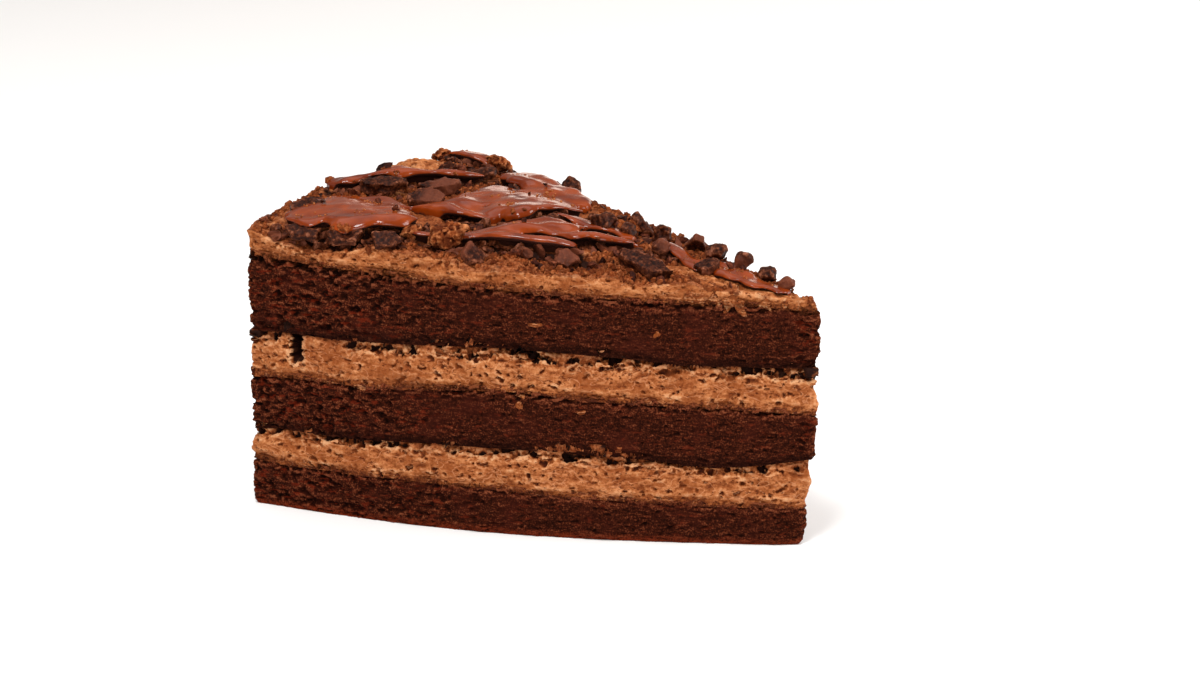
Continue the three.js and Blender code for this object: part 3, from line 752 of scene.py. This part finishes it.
note(ganache, "under", smooth_step(-facings(ganache)[:, 2], 0, 0.45))

# Set milk chocolate ganache: a dense, fatty emulsion that sets smooth. The eye sees a warm red-brown
# under a wet-looking gloss that is a little uneven where it skinned over, and a painted shade on its
# underside, where it hangs over the hollows.
set_ganache, tree = new_material("set_milk_chocolate_ganache")
point = add(tree, "TexCoord", take="Object")
under = add(tree, "Attribute", take="Fac", attribute_name="under")
# cloudy patches of 5 mm and a fine unevenness of 1.2 mm
clouds = add(tree, "TexNoise", {"Vector": point, "Scale": 200, "Detail": 3})
ripple = add(tree, "TexNoise", {"Vector": point, "Scale": 800, "Detail": 2})
body = add(tree, "ValToRGB", {"Fac": clouds}, stops=[(0.3, "#5c1c03"), (0.7, "#873509")])
skinned = add(
    tree,
    "MapRange",
    {"Value": clouds, "From Min": 0.3, "From Max": 0.7, "To Min": 0.16, "To Max": 0.26},
)
# its underside is painted dark, as the shade under it
dust_and_shade_ragged = add(tree, "MixRGB", {"Fac": 0.3, "Color1": under, "Color2": ripple})
dust_and_shade = add(tree, "ValToRGB", {"Fac": dust_and_shade_ragged}, stops=[(0.25, 0.0), (0.45, 0.95)])
dust_and_shade_applied = add(tree, "MixRGB", {"Fac": dust_and_shade, "Color1": body, "Color2": "#2c1007"})
dull = add(tree, "Math", {0: dust_and_shade, 1: skinned}, operation="MAXIMUM")
bump = add(tree, "Bump", {"Height": ripple, "Strength": 0.2, "Distance": 0.0003})
shader = add(
    tree,
    "BsdfPrincipled",
    {
        "Base Color": dust_and_shade_applied,
        "Roughness": dull,
        "IOR": 1.25,
        "Normal": bump,
        "Specular IOR Level": 0.5,
        "Coat Weight": 0.2,
        "Coat Roughness": 0.06,
    },
)
add(tree, "OutputMaterial", {"Surface": shader})
dress(ganache, set_ganache)
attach(ganache, "root")


# The broken chocolate. Dark couverture, tempered and snapped by hand into thin plates and thick
# nuggets, which lie in the mousse as they fell. They keep the places and corners of their solids, with
# the snapped edges chipped and worn.

# Dark couverture: near-black brown with a satin face. The eye sees a thin, lighter line along the
# snapped edges, partly bloom and partly a painted highlight, painted shade in its chipped hollows, and
# dusty brown scratches where cocoa butter has turned pale.
couverture, tree = new_material("dark_couverture_chocolate")
point = add(tree, "TexCoord", take="Object")
proud = add(tree, "Attribute", take="Fac", attribute_name="proud")
# scratches and dust of 0.7 mm, and shades of 9 mm from plate to plate
dust_and_shade = add(tree, "TexNoise", {"Vector": point, "Scale": 1400, "Detail": 4, "Roughness": 0.7})
shades = add(tree, "TexNoise", {"Vector": point, "Scale": 110, "Detail": 0})
# relief with dust: painted highlight on the snapped edges and painted shade in the chips, with pale bloom
bloom_and_edge_highlight = add(tree, "MixRGB", {"Fac": 0.68, "Color1": proud, "Color2": dust_and_shade})
body = add(
    tree,
    "ValToRGB",
    {"Fac": bloom_and_edge_highlight},
    stops=[(0.4, "#140401"), (0.72, "#8e5740"), (0.51, "#2e1006"), (0.6, "#552915")],
)
browner = add(tree, "ValToRGB", {"Fac": shades}, stops=[(0.54, 0.0), (0.64, 0.7)])
shaded = add(tree, "MixRGB", {"Fac": browner, "Color1": body, "Color2": "#653423"})
bump = add(tree, "Bump", {"Height": dust_and_shade, "Strength": 0.5, "Distance": 0.0003})
shader = add(
    tree,
    "BsdfPrincipled",
    {"Base Color": shaded, "Roughness": 0.45, "IOR": 1.4, "Normal": bump, "Specular IOR Level": 0.1},
)
add(tree, "OutputMaterial", {"Surface": shader})

for name, prefix, chip in (
    ("chocolate_shards", "chocolate_shard", 0.9),
    ("chocolate_nuggets", "chocolate_nugget", 1.3),
):
    nodes = sorted(n for n in frame["nodes"] if n.startswith(prefix))
    piece = take_solids(name, *nodes)
    shape_with(piece, "REMESH", mode="VOXEL", voxel_size=0.0002)
    # hollow chips with sharp ridges between them, a worn unevenness and the grain of the break
    carve(piece, "VORONOI", (3.2, 3.2, 3.2), chip, middle=0.45)
    carve(piece, "CLOUDS", (2.4, 2.4, 2.4), 0.6, noise_depth=1)
    carve(piece, "CLOUDS", (0.9, 0.9, 0.9), 0.25, noise_depth=1)
    note_relief(piece, 14, 0.3)
    dress(piece, couverture, 0.6)
    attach(piece, "root")
    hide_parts(*nodes)


# The lumps of crumbled cake. Offcuts of a lighter cocoa cake, rubbed between the fingers: rough and
# open all over, without a skin. They keep the places of their solids.

# Crumbled cocoa cake: dry and matt. The eye sees red-brown crumbs, lighter where they stand out, with
# painted shade in the hollows between them.
crumbled_cake, tree = new_material("crumbled_cocoa_cake")
point = add(tree, "TexCoord", take="Object")
proud = add(tree, "Attribute", take="Fac", attribute_name="proud")
# crumbs of 0.6 mm, in lighter or darker batches of 2 mm
crumb = add(tree, "TexNoise", {"Vector": point, "Scale": 1700, "Detail": 3, "Roughness": 0.7})
batch = add(tree, "TexNoise", {"Vector": point, "Scale": 500, "Detail": 0})
# relief and crumb: painted shade in the hollows, lighter crumbs where they stand out
height = add(tree, "MixRGB", {"Fac": 0.6, "Color1": proud, "Color2": crumb})
body = add(
    tree,
    "ValToRGB",
    {"Fac": height},
    stops=[(0.28, "#240800"), (0.7, "#b87347"), (0.43, "#5a230c"), (0.55, "#84421f")],
)
# darker batches, and painted shade where the crumb lies low
paler = add(tree, "Math", {0: proud, 1: 0.3, 2: batch}, operation="MULTIPLY_ADD")
dark_batch_and_shade = add(tree, "ValToRGB", {"Fac": paler}, stops=[(0.58, 0.6), (0.76, 0.0)])
mixed = add(tree, "MixRGB", {"Fac": dark_batch_and_shade, "Color1": body, "Color2": "#3a1307"})
bump = add(tree, "Bump", {"Height": crumb, "Strength": 1.0, "Distance": 0.0005})
shader = add(
    tree,
    "BsdfPrincipled",
    {"Base Color": mixed, "Roughness": 0.85, "IOR": 1.4, "Normal": bump, "Specular IOR Level": 0.08},
)
add(tree, "OutputMaterial", {"Surface": shader})

nodes = sorted(n for n in frame["nodes"] if n.startswith("cake_lump"))
lumps = take_solids("cake_lumps", *nodes)
shape_with(lumps, "REMESH", mode="VOXEL", voxel_size=0.00026)
carve(lumps, "VORONOI", (4.5, 4.5, 4.5), 2.2, middle=0.5)
carve(lumps, "CLOUDS", (1.2, 1.2, 1.2), 0.6, ramp=[(0.34, 0), (0.5, 1)], middle=1, noise_depth=3)
carve(lumps, "CLOUDS", (0.7, 0.7, 0.7), 0.3, noise_depth=1)
note_relief(lumps, 14, 0.4)
dress(lumps, crumbled_cake)
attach(lumps, "root")
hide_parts(*nodes)


# What is strewn between: splinters of the dark chocolate under the lips of the ganache, roasted cocoa
# nibs, thin shavings, and the crumbs of the broken cake. Each kind has a few shapes that are modelled
# once, and the strewn copies of a kind are one piece.


def tree_of(*pieces):
    """All that something dropped can land on."""
    corners, faces = [], []
    for piece in pieces:
        base = len(corners)
        corners.extend(v.co.copy() for v in piece.data.vertices)
        faces.extend([base + i for i in p.vertices] for p in piece.data.polygons)
    return BVHTree.FromPolygons(corners, faces)


def broken_shape(seed, size, level, breaks=8):
    """A lump of this size in mm, with flat breaks that differ with the seed."""
    bpy.ops.object.select_all(action="DESELECT")
    bpy.ops.mesh.primitive_ico_sphere_add(subdivisions=level, radius=0.0006)
    shape = bpy.context.active_object
    resize(shape, size)
    rows = places(shape)
    draw = random.Random(seed)
    flatness = min(size) / max(size)
    for _ in range(breaks):
        way = np.array([draw.gauss(0, 1), draw.gauss(0, 1), draw.gauss(0, 0.4 + 0.6 * flatness)])
        way /= np.linalg.norm(way)
        reach = rows @ way
        limit = reach.max() * draw.uniform(0.35, 0.7)
        rows -= np.outer(np.maximum(reach - limit, 0), way)
    put_places(shape, rows)
    return shape


def any_turn(draw):
    return Quaternion([draw.gauss(0, 1) for _ in range(4)]).normalized()


def strew(name, shapes, spots):
    """One piece from copies of these shapes, one at each spot: its place, turn and size."""
    copies = []
    for place, turn, size in spots:
        copy = new_object(name, shapes[len(copies) % len(shapes)].data.copy())
        copy.data.transform(Matrix.LocRotScale(place, turn, Vector((size, size, size))))
        copies.append(copy)
    select_only(*copies)
    bpy.ops.object.join()
    for shape in shapes:
        bpy.data.objects.remove(shape)
    copies[0].name = name
    return copies[0]


LENGTH = 120  # of the slice, in mm
HALF_ANGLE = math.radians(19.3)


def bowed_out(side, along):
    """How far the cut on this side of the slice bows out, this far along it from the point, in mm."""
    return (7.5 if side < 0 else 1.2) * math.sin(math.pi * min(along / LENGTH, 1) ** 1.15)


def inside(x, y, margin):
    """Whether this place in plan, in mm, lies on the slice, this far from its cuts."""
    away = math.hypot(TIP - x, y)
    bearing = math.atan2(abs(y), TIP - x)
    return away < LENGTH - margin and away * math.sin(HALF_ANGLE - bearing) + bowed_out(y, away) > margin


def landing(tree, x, y, margin):
    """Where something dropped at this place in plan, in mm, comes to rest, if that is strewn ground."""
    if not inside(x, y, margin) or bareness(x, y) > 0.5:
        return None
    return tree.ray_cast(Vector((x / 1000, y / 1000, DROP)), DOWN)[0]


def read_at(heights, x, y):
    return float(read_map(heights, x / 1000, y / 1000))


bed_tree = tree_of(coat)
top_tree = tree_of(coat, ganache)
luck = random.Random(11)

spots = []
while len(spots) < 400:
    x, y = luck.uniform(-59, 34), luck.uniform(-42, 36)
    spot = landing(bed_tree, x, y, 0.8)
    if spot is None or read_at(lip_side, x, y) < luck.uniform(0.1, 0.5):
        continue
    hollow = read_at(near_lip, x, y)
    tilt = Quaternion((luck.gauss(0, 1), luck.gauss(0, 1), 0), luck.uniform(0, 0.4 + 0.8 * hollow))
    turn = tilt @ Quaternion((0, 0, 1), luck.uniform(0, 6.3))
    lift = luck.uniform(0.0002, 0.0004 + 0.0014 * hollow)
    spots.append((spot + Vector((0, 0, lift)), turn, luck.uniform(0.4, 1.2)))
shapes = [broken_shape(20 + s, (4.4, 3.0, 1.0 + 0.3 * s), 2) for s in range(5)]
splinters = strew("chocolate_splinters", shapes, spots)
note_relief(splinters, 2, 0.5)
dress(splinters, couverture, 0.5)
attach(splinters, "root")

# Roasted cocoa nibs: dark and matt with a little oil, each of its own shade, paler where husk clings.
roasted_nib, tree = new_material("roasted_cocoa_nib")
point = add(tree, "TexCoord", take="Object")
# shades from nib to nib, in cells of 3 mm, and a grain of 0.6 mm
batch = add(tree, "TexNoise", {"Vector": point, "Scale": 300, "Detail": 0})
grain = add(tree, "TexNoise", {"Vector": point, "Scale": 1800, "Detail": 3, "Roughness": 0.75})
shade = add(tree, "MixRGB", {"Fac": 0.6, "Color1": batch, "Color2": grain})
body = add(
    tree,
    "ValToRGB",
    {"Fac": shade},
    stops=[(0.34, "#150401"), (0.7, "#87492f"), (0.5, "#35140a"), (0.6, "#582817")],
)
bump = add(tree, "Bump", {"Height": grain, "Strength": 0.8, "Distance": 0.0004})
shader = add(
    tree,
    "BsdfPrincipled",
    {"Base Color": body, "Roughness": 0.52, "IOR": 1.45, "Normal": bump, "Specular IOR Level": 0.08},
)
add(tree, "OutputMaterial", {"Surface": shader})

spots = []
while len(spots) < 150:
    x, y = luck.uniform(-59, 57), luck.uniform(-42, 38)
    spot = landing(top_tree, x, y, 1.5)
    poured = read_at(past_pour, x, y) < 1.3
    if spot is None or luck.random() > (0.02 + 0.12 * (x > 4) if poured else 0.4 + 0.5 * (x > 4)):
        continue
    size = luck.uniform(0.4, 1.0) ** 1.3 * 1.3
    spots.append((spot + Vector((0, 0, 0.0004 * size)), any_turn(luck), size))
shapes = [broken_shape(s, (3.2, 2.2, 1.5), 2, 10) for s in range(7)]
nibs = strew("cocoa_nibs", shapes, spots)
dress(nibs, roasted_nib, 0.5)
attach(nibs, "root")

spots = []
while len(spots) < 80:
    x, y = luck.uniform(-59, 57), luck.uniform(-42, 38)
    spot = landing(top_tree, x, y, 1.5)
    if spot is None or luck.random() > (0.05 if read_at(past_pour, x, y) < 1.3 else 0.9):
        continue
    turn = Quaternion((0, 0, 1), luck.uniform(0, 6.3)) @ Quaternion((1, 0, 0), luck.uniform(-1.0, 1.0))
    spots.append((spot + Vector((0, 0, 0.0005)), turn, luck.uniform(0.6, 1.3)))
shapes = [broken_shape(40 + s, (4.2, 2.4, 0.5), 2) for s in range(4)]
shavings = strew("chocolate_shavings", shapes, spots)
note_relief(shavings, 2, 0.5)
dress(shavings, couverture, 0.5)
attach(shavings, "root")

spots = []
while len(spots) < 3600:
    x, y = luck.uniform(-60, 58), luck.uniform(-43, 39)
    spot = landing(top_tree, x, y, 0.4)
    on_pour = read_at(past_pour, x, y) < 1.1
    gathered = 0.5 * smooth_step(noise.noise(Vector((0.2 * x, 0.2 * y, 4))), 0.05, 0.4)
    gathered *= 1 - smooth_step(read_at(past_pour, x, y), -3, -1)
    gathered = max(gathered, 0.3 * (x > 28))
    if spot is None or luck.random() > (gathered if on_pour else 0.9):
        continue
    spots.append((spot, any_turn(luck), (0.38 if on_pour else 1) * luck.uniform(0.4, 1.0) ** 1.5 * 1.6))
shapes = [broken_shape(80 + s, (1.3, 1.1, 0.9), 1, 4) for s in range(5)]
crumbs = strew("cake_crumbs", shapes, spots)
rows = places(crumbs)
note(crumbs, "proud", np.where(read_map(past_pour, rows[:, 0], rows[:, 1]) < -0.5, 0.78, 0.58))
dress(crumbs, crumbled_cake)
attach(crumbs, "root")


# The smears on the cut faces. Mousse that the knife pulled down over the top sponge in short tongues,
# and flecks that it carried on to the sponges. Each is a strand laid out flat, along the cut and up,
# which is fused, roughened and then laid on the face.


def cut_place(side, along, up):
    """A place on a cut, this far along it from the point and this high, in mm, and its way out."""

    def plan(s):
        bow, sine, cosine = bowed_out(side, s), math.sin(HALF_ANGLE), math.cos(HALF_ANGLE)
        return Vector((TIP - s * cosine + bow * sine, side * (s * sine + bow * cosine), up))

    ahead = plan(along + 0.5) - plan(along - 0.5)
    out = Vector((ahead.y, -ahead.x, 0)).normalized() * -side
    return plan(along), out if out.y * side > 0 else -out


luck = random.Random(5)
# along the cut, height and radius of each strand's points, in mm
front_strands = [
    [(27.4, 51.4, 1.3), (26.2, 50.6, 1.1), (26.0, 49.8, 0.6), (26.4, 49.2, 0.3)],
    [(24.8, 51.2, 1.3), (24.2, 50.2, 1.0), (24.3, 49.4, 0.5), (23.8, 48.9, 0.3)],
    [(22.5, 51.2, 1.2), (21.8, 50.4, 0.9), (21.1, 49.8, 0.6), (20.5, 49.3, 0.25)],
    [(19.4, 51.0, 1.5), (18.8, 50.0, 1.2), (19.3, 48.9, 0.7), (19.8, 47.9, 0.3)],
    [(16.8, 50.8, 1.5), (17.0, 49.8, 1.3), (16.5, 48.6, 0.8), (15.9, 47.8, 0.45), (15.5, 47.2, 0.2)],
    [(12.6, 50.6, 1.2), (11.7, 49.8, 1.0), (11.3, 48.9, 0.55), (10.7, 48.2, 0.3)],
    [(8.4, 50.4, 1.0), (7.9, 49.8, 0.8), (8.3, 49.0, 0.4)],
    [(31.0, 51.4, 0.8), (31.4, 50.6, 0.5), (31.2, 50.1, 0.25)],
    [(49.9, 52.0, 0.8), (49.6, 51.2, 0.5), (49.9, 50.6, 0.3)],
    [(46.6, 52.0, 0.9), (46.8, 51.2, 0.5), (46.3, 50.5, 0.3)],
    [(58.6, 44.3, 0.3), (57.0, 44.1, 0.5), (55.8, 44.4, 0.2)],
    [(61.2, 27.9, 0.5), (60.4, 27.2, 0.7), (59.8, 27.0, 0.3)],
    [(48.9, 26.8, 0.3), (47.9, 26.6, 0.5), (46.9, 26.9, 0.2)],
    [(61.4, 29.4, 0.4), (59.4, 29.1, 0.4)],
    [(96.6, 28.3, 0.4), (95.0, 28.0, 0.5), (93.4, 27.9, 0.3)],
]
back_strands = []
for strands, count in ((front_strands, 10), (back_strands, 34)):
    for _ in range(count):
        along = luck.uniform(12, 110)
        base = luck.choice((51.8, 51.8, 31, 10.8, 10.8)) + luck.uniform(-0.5, 0.5)
        if luck.random() < 0.35:
            base = luck.choice((45, 24, 5)) + luck.uniform(-3, 3)
        lean = luck.uniform(-1.2, 1.2)
        long = luck.uniform(0.7, 1.8)
        girth = luck.uniform(0.3, 0.6)
        strands.append(
            [
                (along, base, girth),
                (along + lean * 0.5, base - long * 0.5, girth * 0.8),
                (along + lean, base - long, 0.2),
            ]
        )
dragged_names = ("cocoa_sponge", "mousse_filling", "mousse_coat")
faces = tree_of(*(o for o in bpy.data.objects if o.name.startswith(dragged_names)))
sides = []
for side, strands in ((-1, front_strands), (1, back_strands)):
    lines = [
        [((along / 1000, up / 1000, 0), girth) for along, up, girth in strand] for strand in strands
    ]
    smear = strands_from("mousse_smears", lines, 2)
    shape_with(smear, "REMESH", mode="VOXEL", voxel_size=0.0002)
    carve(smear, "CLOUDS", (1.1, 1.1, 1.1), 1.0, noise_depth=2)
    resize(smear, (1, 1, 0.36), flipped=side > 0)
    rows = places(smear)
    laid = rows.copy()
    for index, (along, up, proud) in enumerate(rows):
        place, out = cut_place(side, 1000 * along, 1000 * up)
        hit = faces.ray_cast(place / 1000 + out * 0.006, -out, 0.012)[0]
        laid[index] = (hit if hit is not None else place / 1000) + out * proud
    put_places(smear, laid)
    sides.append(smear)
select_only(*sides)
bpy.ops.object.join()
smears = sides[0]
smears.name = "mousse_smears"
note_relief(smears, 6, 0.12)
note(smears, "share", np.full(len(smears.data.vertices), 0.5))
note(smears, "strewn", 0.4 * smooth_step(places(smears)[:, 2], 0.044, 0.048))
dress(smears, mousse)
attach(smears, "root")


# The studio. A plain pale floor, a soft key light high on the camera's side, which draws the bright
# lines on the lips of the ganache, a fill from the right, a large light low behind on the right that
# the ganache mirrors, and the camera where the photographer stood.

bpy.ops.object.select_all(action="DESELECT")
bpy.ops.mesh.primitive_plane_add(size=6)
floor = bpy.context.active_object
floor.name = "floor"
# White paper: matt, so that the eye sees nothing on it but the slice's soft shadow.
paper, tree = new_material("white_paper_sweep")
shader = add(tree, "BsdfPrincipled", {"Base Color": "#f4f3f2", "Roughness": 0.9})
add(tree, "OutputMaterial", {"Surface": shader})
floor.data.materials.append(paper)

aim = Vector((0, 0, 0.04))
for name, place, wide, high, watts in (
    ("high_key_softbox", (0.1, -0.5, 0.95), 0.3, 0.3, 9.5),
    ("right_fill_softbox", (0.75, -0.8, 0.42), 0.5, 0.5, 5.2),
    ("left_fill_softbox", (-0.8, -0.75, 0.6), 0.5, 0.5, 0.8),
    ("back_right_softbox", (0.75, 0.6, 0.5), 0.5, 0.5, 8),
    ("back_strip_softbox", (-0.3, 1.0, 0.15), 0.8, 0.16, 0.7),
    ("ceiling_softbox", (-0.25, 0.5, 1.7), 1.8, 1.8, 11.5),
):
    lamp = bpy.data.lights.new(name, "AREA")
    lamp.shape = "RECTANGLE"
    lamp.size = wide
    lamp.size_y = high
    lamp.energy = watts
    if name == "back_strip_softbox":
        lamp.color = (1, 0.8, 0.68)
    light = new_object(name, lamp)
    light.location = place
    light.rotation_mode = "QUATERNION"
    light.rotation_quaternion = (aim - Vector(place)).to_track_quat("-Z", "Y")

world = bpy.data.worlds.new("studio")
world.use_nodes = True
world.node_tree.nodes["Background"].inputs["Color"].default_value = (1, 0.93, 0.86, 1)
world.node_tree.nodes["Background"].inputs["Strength"].default_value = 0.29
bpy.context.scene.world = world
bpy.context.scene.view_settings.view_transform = "Standard"

lens = bpy.data.cameras.new("camera")
lens.lens = 100
lens.sensor_width = 36
camera = new_object("camera", lens)
camera.location = (0.37258, -0.55154, 0.2129)
camera.rotation_euler = (math.radians(75), 0, math.radians(33.5))
bpy.context.scene.camera = camera
